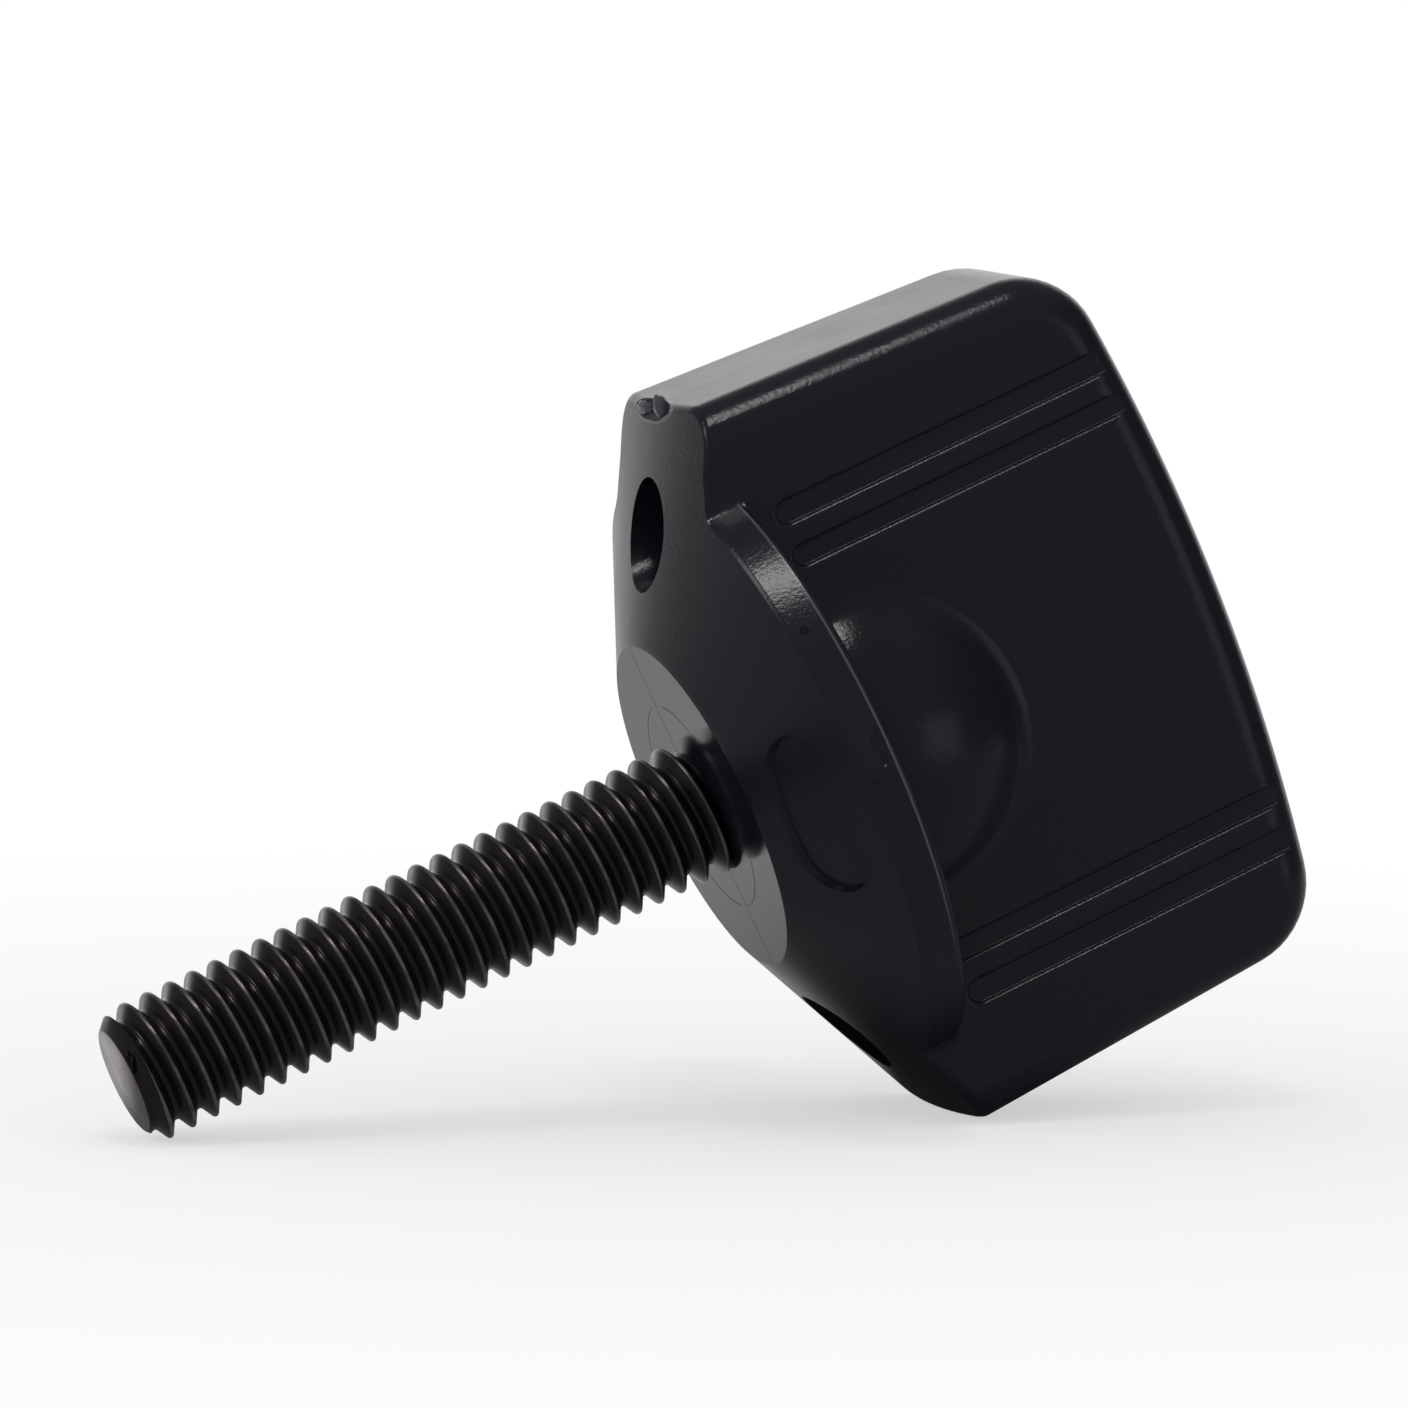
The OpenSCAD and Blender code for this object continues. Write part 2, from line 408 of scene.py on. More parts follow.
# %% [markdown]
# The wings' front edge, where the cone cuts the slab, is crisp on the upper wing and rounder
# on the lower one. It is found by its faces: one lies on the cone, and the other stands along
# the stud. Cutting can leave edges far shorter than the bevel is wide, where its narrow faces
# would cross each other, so the tiniest edges are collapsed first.

# %% Ease the wings' front edge
upper_ease, lower_ease = 0.35, 0.6
shortest_edge = 0.01
past_rim = flange_r - 0.6
cone_nx = -math.cos(math.radians(cone_angle))


def on_cone(face):
    return abs(face.normal.x - cone_nx) < 0.02


def edges_off_cone(bm, keep):
    """Edges between the cone and a face that stands along the stud."""
    found = []
    for e in bm.edges:
        if len(e.link_faces) != 2:
            continue
        a, b = e.link_faces
        if on_cone(b):
            a, b = b, a
        if on_cone(a) and abs(b.normal.x) < 0.25 and keep((e.verts[0].co + e.verts[1].co) / 2):
            found.append(e)
    return found


bmesh.ops.dissolve_degenerate(grip, dist=shortest_edge, edges=grip.edges[:])
for end, size in ((1, upper_ease), (-1, lower_ease)):
    front_edges = edges_off_cone(grip, lambda mid: mid.z * end > past_rim)
    bmesh.ops.bevel(grip, geom=front_edges, offset=size, segments=6, profile=0.5,
                    affect="EDGES", material=-1, clamp_overlap=False)
    print(len(front_edges), "front edges eased by", size, "mm,", open_edges(grip), "open edges")

# %% [markdown]
# Two blind holes are cored into the wings so that the thick plastic cools evenly. A core is
# a round pin in the mould, so each hole is a turned bar, cut out.

# %% Cored holes
core_d = 5.8
core_pitch = 31.0
core_floor = 22.0


def bar(r, start, stop, steps=96):
    """A round bar along the stud's axis."""
    return turned([(start, 0), (start, r), (stop, r), (stop, 0)], steps)


for way in (-1, 1):
    core = bar(core_d / 2, -margin, core_floor)
    bmesh.ops.translate(core, vec=(0, 0, way * core_pitch / 2), verts=core.verts)
    grip = combined(grip, core, "DIFFERENCE")

# %% [markdown]
# A shallow round-ended recess lies in the near side of the cone, bare. Its floor follows the
# cone. So the cutter is a round bar, pulled apart in the middle into a round-ended one, with
# a shifted copy of the cone taken off its end.

# %% Plate recess
recess_len, recess_w, recess_at, recess_depth = 9.6, 4.4, 13.8, 0.45


def plate_cutter():
    length, steps = 20.0, 48
    bm = bar(recess_w / 2, -margin, length, steps)
    half_step = Matrix.Rotation(TAU / (2 * steps), 3, "X")
    bmesh.ops.rotate(bm, cent=(0, 0, 0), matrix=half_step, verts=bm.verts)
    spread = (recess_len - recess_w) / 2
    for v in bm.verts:
        if abs(v.co.z) > weld:
            v.co.z += math.copysign(spread, v.co.z)
    bmesh.ops.translate(bm, vec=(0, -recess_at, 0), verts=bm.verts)
    return combined(bm, envelope(recess_depth), "DIFFERENCE")


grip = combined(grip, plate_cutter(), "DIFFERENCE")

# %% [markdown]
# Two pairs of finger grooves run over each broad face and out at its rounded back. Their lips
# and floor are softly rounded, and that is what catches the light. The section is half a
# groove: from the middle of its floor round the toe, up the leaning wall and over the lip.

# %% Section of a finger groove
groove_depth = 0.35


def groove_section(half_w):
    toe_r, lip_r, lean, lip_end = 0.1, 0.34, 22, 96
    over, above = 0.8, 0.4
    rise = math.radians(lean)
    wall_top = Vector((half_w + lip_r, -lip_r)) + lip_r * dir2(180 - lean)
    wall_foot = toe_r - groove_depth - toe_r * math.sin(rise)
    toe_x = wall_top.x - (wall_top.y - wall_foot) * math.tan(rise) - toe_r * math.cos(rise)
    section = [Vector((0, -groove_depth))]
    section += arc((toe_x, toe_r - groove_depth), toe_r, 270, 360 - lean, 4)
    section += arc((half_w + lip_r, -lip_r), lip_r, 180 - lean, lip_end, 8)
    return section + [Vector((half_w + lip_r + over, above))]


# %% [markdown]
# The section is swept half round at the groove's front end and drawn out straight. The back
# end is hidden outside the grip, so the shape is simply mirrored there and closed on top. The
# cutter is then stood on the slanting face, eight times in all.

# %% Finger grooves
groove_front = 8.4
groove_reach = 30.0
outer_groove_at, outer_groove_w = 14.8, 1.3
inner_groove_at, inner_groove_w = 12.2, 1.15


def groove_cutter(at, width, way):
    half_w = width / 2
    bm = bmesh.new()
    verts, chain = line_of(bm, [(0, p.y, p.x) for p in groove_section(half_w)])
    last = bmesh.ops.spin(bm, geom=verts + chain, cent=(0, 0, 0), axis=(0, 1, 0),
                          angle=-TAU / 2, steps=20)["geom_last"]
    grown = bmesh.ops.extrude_edge_only(bm, edges=chain + edges_in(last))["geom"]
    bmesh.ops.translate(bm, vec=(groove_reach, 0, 0), verts=verts_in(grown))
    bmesh.ops.remove_doubles(bm, verts=bm.verts, dist=weld)
    bmesh.ops.translate(bm, vec=(-groove_reach, 0, 0), verts=bm.verts)
    bmesh.ops.mirror(bm, geom=everything(bm), axis="X", merge_dist=10 * weld)
    bmesh.ops.translate(bm, vec=(groove_reach, 0, 0), verts=bm.verts)
    rim = [e for e in bm.edges if len(e.link_faces) == 1]
    bmesh.ops.contextual_create(bm, geom=rim)
    bmesh.ops.recalc_face_normals(bm, faces=bm.faces)
    place = Matrix.Rotation(0 if way > 0 else TAU / 2, 4, "X") \
        @ Matrix.Translation((0, wing_t / 2, 0)) @ Matrix.Rotation(-math.radians(face_draft), 4, "Z") \
        @ Matrix.Translation((groove_front + half_w, 0, at))
    bmesh.ops.transform(bm, matrix=place, verts=bm.verts)
    return bm


outer, inner = (outer_groove_at, outer_groove_w), (inner_groove_at, inner_groove_w)
for way in (-1, 1):
    for end, (at, width) in ((-1, outer), (-1, inner), (1, inner), (1, outer)):
        grip = combined(grip, groove_cutter(end * at, width, way), "DIFFERENCE")

# %% [markdown]
# A used moulding has small marks. Where the plastic flowed in, at the front edge of one wing,
# the snapped-off stub has left a torn scar, and the rim has a few nicks. Each is a ball with
# its skin pushed in and out by noise, squeezed to size, and cut out or joined on. The lists
# hold a place, half the sizes and a seed.

# %% Torn gate and nicks
scar_at, scar_size = Vector((6.0, 0.7, 22.15)), Vector((0.85, 3.6, 1.0))
ridges = (((6.5, -0.3, 21.7), (0.45, 0.5, 0.8), 2), ((6.45, 2.6, 21.5), (0.4, 1.1, 0.5), 3))
nicks = (((5.86, -18.23, 2.34), (0.35, 0.2, 0.6), 4), ((4.9, -18.32, 1.34), (0.3, 0.2, 0.5), 5),
         ((5.8, -18.0, 3.67), (0.6, 0.2, 0.8), 6), ((5.15, -15.25, 10.24), (0.3, 0.2, 0.5), 7))
scar_rough, ridge_rough, nick_rough = 0.15, 0.2, 0.3


def lump(place, sizes, roughness, seed):
    bumps = 2.3
    bm = bmesh.new()
    bmesh.ops.create_icosphere(bm, subdivisions=3, radius=1.0)
    for v in bm.verts:
        v.co *= 1 + roughness * noise.noise(v.co * bumps + Vector((seed, 0, 0)))
    stand = Matrix.Translation(place) @ Matrix.Diagonal((*sizes, 1))
    bmesh.ops.transform(bm, matrix=stand, verts=bm.verts)
    return bm


grip = combined(grip, lump(scar_at, scar_size, scar_rough, 1), "DIFFERENCE")
for place, sizes, seed in ridges:
    grip = combined(grip, lump(place, sizes, ridge_rough, seed), "UNION")
for place, sizes, seed in nicks:
    grip = combined(grip, lump(place, sizes, nick_rough, seed), "DIFFERENCE")

# %% [markdown]
# A hair-thin line crosses the seat, where two parts of the mould met. It is drawn as a groove
# a few hundredths of a millimetre deep, cut by a long, thin bar that lies half in the seat.

# %% Parting line of the seat
line_w, line_turn = 0.06, math.radians(-9)
line = bmesh.new()
thin = Matrix.Diagonal((line_w, line_w, 2 * seat_r, 1))
bmesh.ops.create_cube(line, matrix=Matrix.Rotation(line_turn, 4, "X") @ thin)
grip = combined(grip, line, "DIFFERENCE")

# %% [markdown]
# The stud's thread is an 18-to-the-inch unified thread: flanks at 60 degrees to each other,
# narrow crests and round roots, all right-handed. One tooth is drawn as a line of points.
# Spin carries it round the axis and one pitch forward, and copies of that turn follow each
# other, so each meets the one before it. The open ends are drawn together on the axis.

# %% Thread of the stud
stud_r = 3.97
stud_reach = 36.65
pitch = 25.4 / 18
root_r = 3.17
first_crest = -33.743
thread_stop = 2.5
turn_steps = 72
turn_weld = 4e-3


def tooth():
    """One tooth, from root to root, as points of X and radius."""
    crest = pitch / 16
    edge = 0.05
    root_round = 0.14
    foot = crest + (stud_r - root_r - root_round / 2) / math.tan(math.radians(60))
    half = [Vector((0, stud_r)), Vector((crest - edge, stud_r)), Vector((crest, stud_r - edge * 0.6))]
    half += [Vector((foot, root_r + root_round / 2)),
             Vector(((foot + pitch / 2) / 2, root_r + root_round / 8)), Vector((pitch / 2, root_r))]
    return [Vector((-p.x, p.y)) for p in reversed(half[1:])] + half


def thread_blank():
    turns_back = math.ceil((stud_reach + first_crest + 2 * pitch) / pitch)
    start = first_crest - turns_back * pitch
    turns = math.ceil((thread_stop - start) / pitch)
    bm = bmesh.new()
    verts, edges = line_of(bm, [(start + p.x, p.y, 0) for p in tooth()])
    bmesh.ops.spin(bm, geom=verts + edges, cent=(0, 0, 0), axis=(1, 0, 0), angle=TAU,
                   dvec=(pitch / turn_steps, 0, 0), steps=turn_steps)
    turn = everything(bm)
    for k in range(1, turns):
        copy = bmesh.ops.duplicate(bm, geom=turn)["geom"]
        bmesh.ops.translate(bm, vec=(k * pitch, 0, 0), verts=verts_in(copy))
    bmesh.ops.remove_doubles(bm, verts=bm.verts, dist=turn_weld)
    rim = [e for e in bm.edges if len(e.link_faces) == 1]
    grown = bmesh.ops.extrude_edge_only(bm, edges=rim)["geom"]
    tip_pole, inner_pole = (start - pitch, 0, 0), (start + (turns + 1) * pitch, 0, 0)
    for v in verts_in(grown):
        v.co = tip_pole if v.co.x < -stud_reach / 2 else inner_pole
    bmesh.ops.remove_doubles(bm, verts=bm.verts, dist=weld)
    bmesh.ops.recalc_face_normals(bm, faces=bm.faces)
    return bm


stud = thread_blank()
print("thread", len(stud.faces), "faces,", open_edges(stud), "open edges")

# %% [markdown]
# The stud was sawn to length and chamfered. A turned blank has that form: a flat end with a
# slightly eased edge, the chamfer, and a barrel a little wider than the thread. The stud
# keeps what lies inside it, and a nick is cut in the tip's edge.

# %% Tip of the stud
tip_chamfer = 0.85
tip_r = stud_r - tip_chamfer
eased_w, eased_in = 0.15, 0.06
spare = 0.15
barrel_stop = 1.0
tip_blank = turned([(-stud_reach, 0), (-stud_reach, tip_r - eased_w), (-stud_reach + eased_in, tip_r),
                    (-stud_reach + tip_chamfer + spare, stud_r + spare),
                    (barrel_stop, stud_r + spare), (barrel_stop, 0)])
stud = combined(stud, tip_blank, "INTERSECT")

# %% [markdown]
# Behind the seat the stud goes on as a plain shank to a hexagon head, which the plastic holds.
# Neither can be seen, so they are plain, but the piece is then the whole bolt. A circle of six
# points is a hexagon, and it only has to be turned across the axis and extruded.

# %% Shank and head of the bolt
shank_r, shank_start = 3.51, 0.5
head_front, head_back, across_flats = 7.8, 12.96, 12.7
tip_nick_at, tip_nick_size, tip_nick_rough = (-36.35, -3.05, 1.5), (0.3, 0.35, 0.8), 0.5


def hexagon_head():
    bm = bmesh.new()
    bmesh.ops.create_circle(bm, cap_ends=True, segments=6, radius=across_flats / math.sqrt(3))
    bmesh.ops.rotate(bm, cent=(0, 0, 0), matrix=Matrix.Rotation(TAU / 4, 3, "Y"), verts=bm.verts)
    grown = bmesh.ops.extrude_face_region(bm, geom=bm.faces[:])["geom"]
    bmesh.ops.translate(bm, vec=(head_back - head_front, 0, 0), verts=verts_in(grown))
    bmesh.ops.translate(bm, vec=(head_front, 0, 0), verts=bm.verts)
    bmesh.ops.recalc_face_normals(bm, faces=bm.faces)
    return bm


stud = combined(stud, bar(shank_r, shank_start, head_front + 1), "UNION")
stud = combined(stud, hexagon_head(), "UNION")
stud = combined(stud, lump(tip_nick_at, tip_nick_size, tip_nick_rough, 8), "DIFFERENCE")

# %% [markdown]
# The finished bolt is cut out of the grip, because the plastic was moulded round it and fits
# every turn. A piece is then laid down, made an object at the origin and shaded smooth, with
# its creases kept. Weighted normals keep the flat faces flat beside their rounded edges. The
# modifier looks for each face's strength in a layer of its own, where 16384 means strong.

# %% Finish the two pieces
def is_flat(face):
    """True on the broad faces, the ends, the seat and the flange's back."""
    x, y, z = (abs(n) for n in face.normal)
    return (x > 1 - tiny or abs(y - math.cos(math.radians(face_draft))) < tiny
            or abs(z - math.cos(math.radians(end_draft))) < tiny)


def finished(bm, name, node, crease):
    strength = bm.faces.layers.int.new("__mod_weightednormals_faceweight")
    strong = 16384
    for f in bm.faces:
        f[strength] = strong if is_flat(f) else 0
        f.smooth = True
    bmesh.ops.transform(bm, matrix=laid, verts=bm.verts)
    for e in bm.edges:
        e.smooth = len(e.link_faces) == 2 and e.calc_face_angle(0) < math.radians(crease)
    obj = as_object(bm, name)
    soft = obj.modifiers.new("flat faces stay flat", "WEIGHTED_NORMAL")
    soft.keep_sharp = True
    soft.use_face_influence = True
    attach(obj, "root")
    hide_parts(node)
    print(name, len(obj.data.polygons), "faces")
    return obj


grip = combined(grip, stud.copy(), "DIFFERENCE")
grip_obj = finished(grip, "moulded_grip", "grip", crease=26)
stud_obj = finished(stud, "threaded_stud", "stud", crease=50)

# %% [markdown]
# Colours are written as sRGB hex values, as a colour picker shows them. Blender's materials
# work in linear light, so one function turns them. Another adds a node with its settings.

# %% Colours and nodes
def linear(hex_code):
    parts = [int(hex_code[i:i + 2], 16) / 255 for i in (1, 3, 5)]
    return tuple(c / 12.92 if c <= 0.04045 else ((c + 0.055) / 1.055) ** 2.4 for c in parts) + (1.0,)


def per_mm(size):
    """The scale that makes one cell of a pattern this many millimetres."""
    return 1 / (size * MM)


def add(tree, kind, inputs=None, **settings):
    node = tree.nodes.new(kind)
    for key, value in settings.items():
        setattr(node, key, value)
    for key, value in (inputs or {}).items():
        if isinstance(value, bpy.types.NodeSocket):
            tree.links.new(value, node.inputs[key])
        else:
            node.inputs[key].default_value = value
    return node


def new_material(name):
    material = bpy.data.materials.new(name)
    material.use_nodes = True
    tree = material.node_tree
    tree.nodes.clear()
    out = tree.nodes.new("ShaderNodeOutputMaterial")
    return material, tree, out


print("a middle grey on the screen is", round(linear("#808080")[0], 3), "in linear light")

# %% [markdown]
# Some marks sit at a known depth along the stud and a known distance from its axis. Both can
# be measured in a material from Object coordinates, since the piece's object is at the origin:
# the depth is a dot product with the stud's direction, and the rest of the way is off the axis.

# %% Depth and distance from the axis
into_grip = (laid.to_3x3() @ Vector((1, 0, 0))).normalized()


def off_axis(tree, place):
    """How far a place is from the stud's axis."""
    on_axis = add(tree, "ShaderNodeVectorMath", {0: place, 1: into_grip}, operation="PROJECT")
    off = add(tree, "ShaderNodeVectorMath", {0: place, 1: on_axis.outputs[0]}, operation="SUBTRACT")
    return add(tree, "ShaderNodeVectorMath", {0: off.outputs[0]}, operation="LENGTH").outputs["Value"]


print("into the grip is", [round(n, 3) for n in into_grip])

# %% [markdown]
# Two places on the black plastic are a little paler. Along the flange's rear edge a painted
# highlight is drawn as a fine pale line that fades out towards the bottom, and the scar of the
# gate was torn and not moulded. Each is a mask that is 1 on the mark: the line lies at one depth
# and one distance from the axis, and the scar is what lies close round the ball that cut it.

# %% Painted highlight on the rear edge, and the paler torn scar
# A painted highlight: a fine pale line on the flange's rear edge, fading out towards the bottom.
def painted_highlight_line(tree, place, depth):
    line_in, line_half, skin_half = 0.43, 0.07, 0.06
    gone, full = -8, -1
    outer = add(tree, "ShaderNodeMath", {0: off_axis(tree, place), 1: flange_r * MM, 2: skin_half * MM},
                operation="COMPARE")
    edge = add(tree, "ShaderNodeMath", {0: depth, 1: (flange_back - line_in) * MM, 2: line_half * MM},
               operation="COMPARE")
    line = add(tree, "ShaderNodeMath", {0: outer.outputs[0], 1: edge.outputs[0]}, operation="MULTIPLY")
    high = add(tree, "ShaderNodeSeparateXYZ", {"Vector": place}).outputs["Z"]
    above = add(tree, "ShaderNodeMapRange", {"Value": high, "From Min": gone * MM, "From Max": full * MM})
    return add(tree, "ShaderNodeMath", {0: line.outputs[0], 1: above.outputs["Result"]},
               operation="MULTIPLY").outputs[0]


def torn_scar(tree, place):
    just_round = 1.12
    from_scar = add(tree, "ShaderNodeVectorMath", {0: place, 1: laid @ scar_at}, operation="SUBTRACT")
    in_scar = add(tree, "ShaderNodeVectorMath", {0: from_scar.outputs[0], 1: scar_size * MM},
                  operation="DIVIDE")
    far = add(tree, "ShaderNodeVectorMath", {0: in_scar.outputs[0]}, operation="LENGTH").outputs["Value"]
    return add(tree, "ShaderNodeMath", {0: far, 1: just_round}, operation="LESS_THAN").outputs[0]


# %% [markdown]
# The grip is glass-filled nylon, pigmented black and moulded in a steel tool. Its colour is
# nearly black, with a trace of blue. The tool's fine texture gives it a satin gloss that
# breaks highlights into grains, while the seat was polished in the tool and mirrors more.
# The grains are drawn a fifth of a millimetre wide, about as small as the picture can show.

# %% Moulded nylon
def moulded_plastic():
    grain_w, flow_w, grain_high = 0.22, 6, 0.03
    texture_starts, texture_full = 0.02, 0.12
    material, tree, out = new_material("black_moulded_nylon")
    place = add(tree, "ShaderNodeTexCoord").outputs["Object"]
    along = add(tree, "ShaderNodeVectorMath", {0: place, 1: into_grip}, operation="DOT_PRODUCT")
    depth = along.outputs["Value"]
    textured = add(tree, "ShaderNodeMapRange", {
        "Value": depth, "From Min": texture_starts * MM, "From Max": texture_full * MM}).outputs["Result"]
    grain = add(tree, "ShaderNodeTexNoise", {"Vector": place, "Scale": per_mm(grain_w), "Detail": 2.0})
    flow = add(tree, "ShaderNodeTexNoise", {"Vector": place, "Scale": per_mm(flow_w), "Detail": 3.0})
    satin = add(tree, "ShaderNodeMapRange", {
        "Value": flow.outputs["Fac"], "From Min": 0.3, "From Max": 0.7, "To Min": 0.17, "To Max": 0.25})
    rough = add(tree, "ShaderNodeMix", {"Factor": textured, "A": 0.13, "B": satin.outputs["Result"]})
    height = add(tree, "ShaderNodeMath", {0: grain.outputs["Fac"], 1: textured}, operation="MULTIPLY")
    bump = add(tree, "ShaderNodeBump", {
        "Height": height.outputs[0], "Strength": 0.5, "Distance": grain_high * MM})
    # One mask for the painted highlight line on the rear edge and the paler torn scar; the pale colour serves
    # both.
    highlight_and_scar = add(tree, "ShaderNodeMath", {0: painted_highlight_line(tree, place, depth), 1: torn_scar(tree, place)},
               operation="MAXIMUM")
    black, pale = linear("#15161e"), linear("#45454b")
    colour = add(tree, "ShaderNodeMix", {0: highlight_and_scar.outputs[0], 6: black, 7: pale}, data_type="RGBA")
    shader = add(tree, "ShaderNodeBsdfPrincipled", {
        "Base Color": colour.outputs[2], "Roughness": rough.outputs["Result"], "IOR": 1.5,
        "Normal": bump.outputs["Normal"]})
    tree.links.new(shader.outputs["BSDF"], out.inputs["Surface"])
    print(material.name, len(tree.nodes), "nodes")
    return material


grip_obj.data.materials.append(moulded_plastic())

# %% [markdown]
# The stud is steel with a rolled thread, blackened in a hot oxide bath and oiled. Under the
# oil it is a dark, glossy metal: it has hardly any colour of its own, shows the light as thin
# lines along its crests, and is a little smoother in one place than in another. The sawn end
# took less of the black and is greyer, and so do the crests look where they were rubbed. The
# oxide itself isn't quite a metal, so a little of the surface is left matt.

# %% Black oxide steel
def black_oxide():
    oil_w, grain_w, grain_high = 1.5, 0.5, 0.02
    sawn_starts, sawn_full = 0.05, 0.02
    crest_starts, crest_full = 0.1, 0.03
    material, tree, out = new_material("black_oxide_steel")
    place = add(tree, "ShaderNodeTexCoord").outputs["Object"]
    patches = add(tree, "ShaderNodeTexNoise", {"Vector": place, "Scale": per_mm(oil_w), "Detail": 4.0})
    oil = patches.outputs["Fac"]
    rough = add(tree, "ShaderNodeMapRange", {
        "Value": oil, "From Min": 0.3, "From Max": 0.7, "To Min": 0.18, "To Max": 0.32})
    grain = add(tree, "ShaderNodeTexNoise", {"Vector": place, "Scale": per_mm(grain_w), "Detail": 3.0})
    bump = add(tree, "ShaderNodeBump", {
        "Height": grain.outputs["Fac"], "Strength": 0.25, "Distance": grain_high * MM})
    depth = add(tree, "ShaderNodeVectorMath", {0: place, 1: into_grip}, operation="DOT_PRODUCT")
    sawn = add(tree, "ShaderNodeMapRange", {
        "Value": depth.outputs["Value"],
        "From Min": (sawn_starts - stud_reach) * MM, "From Max": (sawn_full - stud_reach) * MM})
    crest = add(tree, "ShaderNodeMapRange", {
        "Value": off_axis(tree, place),
        "From Min": (stud_r - crest_starts) * MM, "From Max": (stud_r - crest_full) * MM})
    uneven = add(tree, "ShaderNodeMapRange", {
        "Value": oil, "From Min": 0.4, "From Max": 0.65, "To Min": 0.3, "To Max": 1.0})
    rubbed = add(tree, "ShaderNodeMath", {0: crest.outputs["Result"], 1: uneven.outputs["Result"]},
                 operation="MULTIPLY")
    bare = add(tree, "ShaderNodeMath", {0: sawn.outputs["Result"], 1: rubbed.outputs[0]}, operation="MAXIMUM")
    dark, worn = linear("#454040"), linear("#a29a9a")
    colour = add(tree, "ShaderNodeMix", {0: bare.outputs[0], 6: dark, 7: worn}, data_type="RGBA")
    shader = add(tree, "ShaderNodeBsdfPrincipled", {
        "Base Color": colour.outputs[2], "Metallic": 0.94, "Roughness": rough.outputs["Result"],
        "Normal": bump.outputs["Normal"]})
    tree.links.new(shader.outputs["BSDF"], out.inputs["Surface"])
    print(material.name, len(tree.nodes), "nodes")
    return material


stud_obj.data.materials.append(black_oxide())

# %% [markdown]
# The camera stands where the photographer's stood: low, a little to the side of the thumb
# screw's flat, and far away with a long lens, so that the shape hardly narrows. Its place was
# fitted to the photograph. The fit gave three directions, the shift of the screw in front of
# the lens, in millimetres, and the focal length in pixels.

# %% Camera
view_right = Vector((0.8742, -0.3669, 0.318))
view_up = Vector((0.4143, 0.9052, -0.0946))
view_back = Vector((-0.2531, 0.2145, 0.9434))
view_shift = Vector((-0.155, -5.737, -597.587))
lens_px, image_px, sensor = 10607.0, 1408, 36.0


def from_fit(v):
    """Turns a direction of the camera's fit into the lying screw's frame."""
    return laid.to_3x3() @ Vector((v.x, -v.z, v.y)) / MM


def level_camera():
    """Makes the camera, and gives the direction from the screw to it."""
    data = bpy.data.cameras.new("camera")
    data.sensor_width = sensor
    data.lens = lens_px / image_px * sensor
    data.clip_start, data.clip_end = 0.05, 10.0
    camera = bpy.data.objects.new("camera", data)
    bpy.context.scene.collection.objects.link(camera)
    spot = -(view_right * view_shift.x + view_up * view_shift.y + view_back * view_shift.z)
    right, up, back = from_fit(view_right), from_fit(view_up), from_fit(view_back)
    turn = Matrix((right, up, back)).transposed().to_4x4()
    camera.matrix_world = Matrix.Translation(from_fit(spot) * MM) @ turn
    bpy.context.scene.camera = camera
    return back


studio_front = level_camera()
print("camera looks from", [round(c, 3) for c in studio_front])

# %% [markdown]
# Black gloss shows little colour of its own: it shows the room. The floor is white paper, and
# in reflections it is bright behind the screw, dim in front, as paper is that is lit from
# behind, and dark round the foot of the wing, which stands in its own shadow. The numbers
# are fixed to the studio, so they stay where they are when the camera moves.

# %% How bright the paper is in reflections
floor_z = cad_box[0][2]
studio_back = -Vector((studio_front.x, studio_front.y, 0)).normalized()
lit_from = Vector((-0.04, 0.0, floor_z))
wing_foot = Vector((0.0148, 0.0, floor_z))


def mirrored_paper(tree, place):
    line_near, line_far, dim, bright = 4, 13, 0.13, 0.5
    shadow_near, shadow_far, shadow = 7, 16, 0.15
    deep = add(tree, "ShaderNodeSeparateXYZ", {"Vector": place}).outputs["Y"]
    behind = add(tree, "ShaderNodeMapRange", {
        "Value": deep, "From Min": line_near * MM, "From Max": line_far * MM,
        "To Min": 0.0, "To Max": bright})
    apart = add(tree, "ShaderNodeVectorMath", {0: place, 1: lit_from}, operation="SUBTRACT")
    way = add(tree, "ShaderNodeVectorMath", {0: apart.outputs[0]}, operation="NORMALIZE")
    facing = add(tree, "ShaderNodeVectorMath", {0: way.outputs[0], 1: studio_back}, operation="DOT_PRODUCT")
    spread = add(tree, "ShaderNodeMapRange", {
        "Value": facing.outputs["Value"], "From Min": -0.4, "From Max": 0.95})
    fan = add(tree, "ShaderNodeMath", {0: spread.outputs["Result"], 1: 3.0}, operation="POWER")
    lit = add(tree, "ShaderNodeMath", {0: fan.outputs[0], 1: behind.outputs["Result"], 2: dim},
              operation="MULTIPLY_ADD")
    from_foot = add(tree, "ShaderNodeVectorMath", {0: place, 1: wing_foot}, operation="DISTANCE")
    shaded = add(tree, "ShaderNodeMapRange", {
        "Value": from_foot.outputs["Value"], "From Min": shadow_near * MM, "From Max": shadow_far * MM,
        "To Min": shadow, "To Max": 1.0})
    return add(tree, "ShaderNodeMath", {0: lit.outputs[0], 1: shaded.outputs["Result"]},
               operation="MULTIPLY").outputs[0]


# %% [markdown]
# The camera sees the paper white, with its shading kept only close to the screw, where the
# shadow lies. Light Path tells the camera's rays and the reflections apart from other light,
# which falls on plain paper.

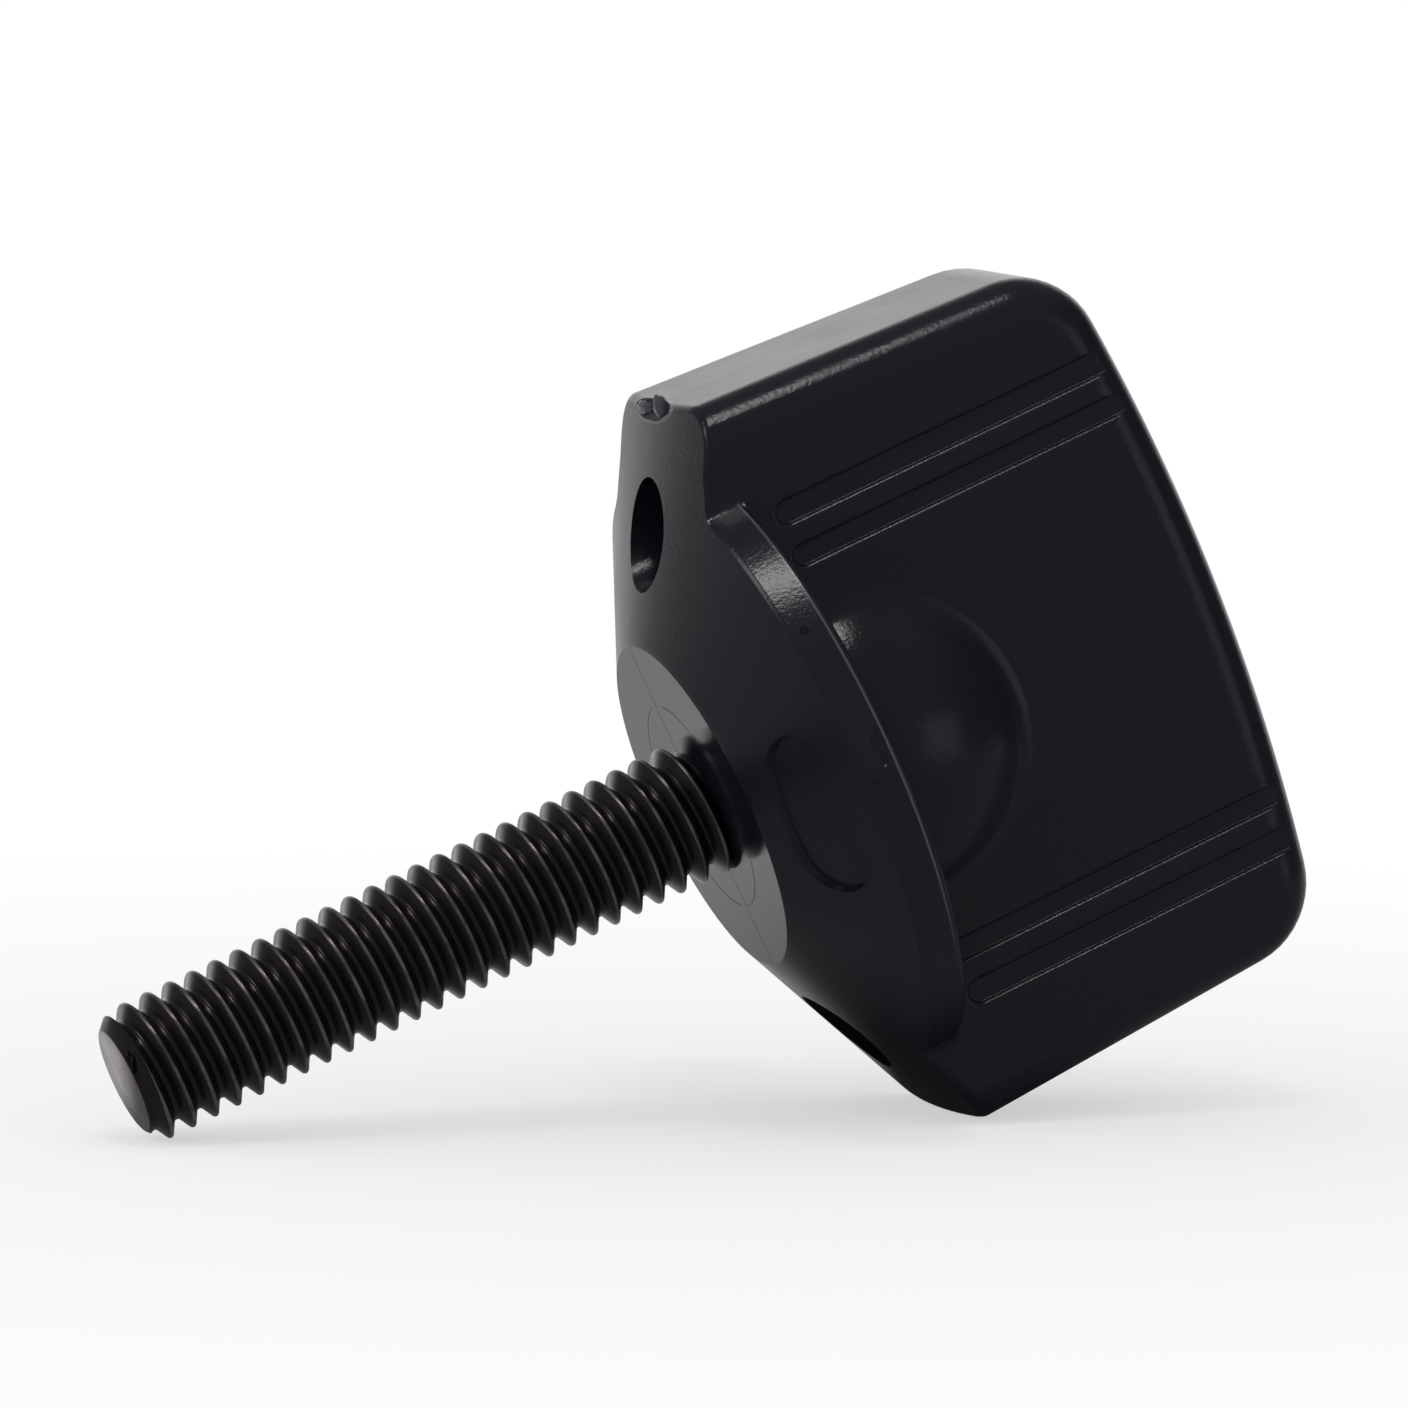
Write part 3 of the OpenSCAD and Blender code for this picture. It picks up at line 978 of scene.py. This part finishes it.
# %% Floor
def pale_floor():
    shade_near, shade_far, least_white = 30, 140, 0.55
    bm = bmesh.new()
    bmesh.ops.create_grid(bm, x_segments=1, y_segments=1, size=3.0)
    bmesh.ops.translate(bm, vec=(0, 0, floor_z), verts=bm.verts)
    floor = as_object(bm, "floor")
    material, tree, out = new_material("pale_floor")
    place = add(tree, "ShaderNodeTexCoord").outputs["Object"]
    path = add(tree, "ShaderNodeLightPath").outputs
    level = add(tree, "ShaderNodeMix", {
        "Factor": path["Is Camera Ray"], "A": mirrored_paper(tree, place), "B": 1.0})
    glow = add(tree, "ShaderNodeEmission", {"Color": (1, 1, 1, 1), "Strength": level.outputs["Result"]})
    paper = add(tree, "ShaderNodeBsdfDiffuse", {"Color": linear("#f4f4f4")})
    near = add(tree, "ShaderNodeVectorMath", {0: place}, operation="LENGTH").outputs["Value"]
    white = add(tree, "ShaderNodeMapRange", {
        "Value": near, "From Min": shade_near * MM, "From Max": shade_far * MM,
        "To Min": least_white, "To Max": 1.0})
    seen = add(tree, "ShaderNodeMath", {0: path["Is Camera Ray"], 1: white.outputs["Result"]},
               operation="MULTIPLY")
    shone = add(tree, "ShaderNodeMath", {0: path["Is Glossy Ray"], 1: path["Is Transmission Ray"]},
                operation="ADD")
    share = add(tree, "ShaderNodeMath", {0: seen.outputs[0], 1: shone.outputs[0]}, operation="ADD")
    mix = add(tree, "ShaderNodeMixShader", {0: share.outputs[0], 1: paper.outputs[0], 2: glow.outputs[0]})
    tree.links.new(mix.outputs[0], out.inputs["Surface"])
    floor.data.materials.append(material)
    floor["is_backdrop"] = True
    print("the floor lies", round(-floor_z / MM, 2), "mm under the middle of the seat")


pale_floor()

# %% [markdown]
# The world stands for the rest of the studio. The camera sees a white backdrop. Gloss sees
# the same white behind the screw, and a dim room from there round to the front, which is why
# the broad faces stay black. Its right corner is dimmer still. Soft light of one even level
# falls on everything.

# %% Backdrop and room
def studio_world():
    room_dim, corner_less, soft_light = 0.15, 0.12, 0.75
    world = bpy.data.worlds.new("studio")
    bpy.context.scene.world = world
    world.use_nodes = True
    tree = world.node_tree
    tree.nodes.clear()
    out = tree.nodes.new("ShaderNodeOutputWorld")
    place = add(tree, "ShaderNodeTexCoord").outputs["Generated"]
    side = add(tree, "ShaderNodeVectorMath", {0: place, 1: studio_front}, operation="DOT_PRODUCT")
    studio = add(tree, "ShaderNodeMapRange", {
        "Value": side.outputs["Value"], "From Min": -0.95, "From Max": -0.6,
        "To Min": 1.0, "To Max": room_dim},
        interpolation_type="SMOOTHSTEP")
    right = add(tree, "ShaderNodeSeparateXYZ", {"Vector": place}).outputs["X"]
    corner = add(tree, "ShaderNodeMapRange", {
        "Value": right, "From Min": 0.55, "From Max": 0.9, "To Min": 0.0, "To Max": -corner_less})
    room = add(tree, "ShaderNodeMath", {0: studio.outputs["Result"], 1: corner.outputs["Result"]},
               operation="ADD")
    path = add(tree, "ShaderNodeLightPath").outputs
    shone = add(tree, "ShaderNodeMath", {0: path["Is Glossy Ray"], 1: path["Is Transmission Ray"]},
                operation="ADD")
    light = add(tree, "ShaderNodeMix", {"Factor": shone.outputs[0], "A": soft_light, "B": room.outputs[0]})
    level = add(tree, "ShaderNodeMix", {
        "Factor": path["Is Camera Ray"], "A": light.outputs["Result"], "B": 1.0})
    sky = add(tree, "ShaderNodeBackground", {"Color": (1, 1, 1, 1), "Strength": level.outputs["Result"]})
    tree.links.new(sky.outputs[0], out.inputs["Surface"])
    print("world", len(tree.nodes), "nodes")


studio_world()

# %% [markdown]
# One small softbox hangs overhead, a little in front. It is brighter than the paper, and it
# draws the bright lines along the wing's edge, the grooves' lips, the rim and the thread's
# crests. Two pale cards stand beside the screw: the left one lights the crisp front edges, and
# the right one puts a soft sheen on the boss.

# %% Softbox and cards
def softbox(name, direction, size, brightness):
    """A square lamp of a given brightness, where 1 looks as bright as white paper."""
    distance = 0.6
    data = bpy.data.lights.new(name, "AREA")
    data.shape, data.size = "SQUARE", size
    data.energy = brightness * math.pi * size ** 2
    lamp = bpy.data.objects.new(name, data)
    bpy.context.scene.collection.objects.link(lamp)
    spot = Vector(direction).normalized() * distance
    lamp.matrix_world = Matrix.Translation(spot) @ (-spot).to_track_quat("-Z", "Y").to_matrix().to_4x4()
    print(name, "energy", round(data.energy, 2), "W")


softbox("overhead_softbox", direction=(-0.109, -0.24, 0.964), size=0.13, brightness=7.0)
softbox("left_card", direction=(-0.869, -0.03, 0.5), size=0.2, brightness=2.0)
softbox("right_card", direction=(0.75, -0.65, 0.1), size=0.25, brightness=0.3)
bpy.context.scene.view_settings.view_transform = "Standard"

# %% [markdown]
# Both boxes, of the imported part and of the dressed one, are printed. The size rule compares
# the dressed part with the imported one.

# %% Print both sizes
def plain(box):
    return [[float(n) for n in corner] for corner in box]


sizes = {"cad": plain(cad_box), "visual": plain(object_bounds())}
for name, (low, high) in sizes.items():
    print(name, [round((b - a) / MM, 2) for a, b in zip(low, high)], "mm")
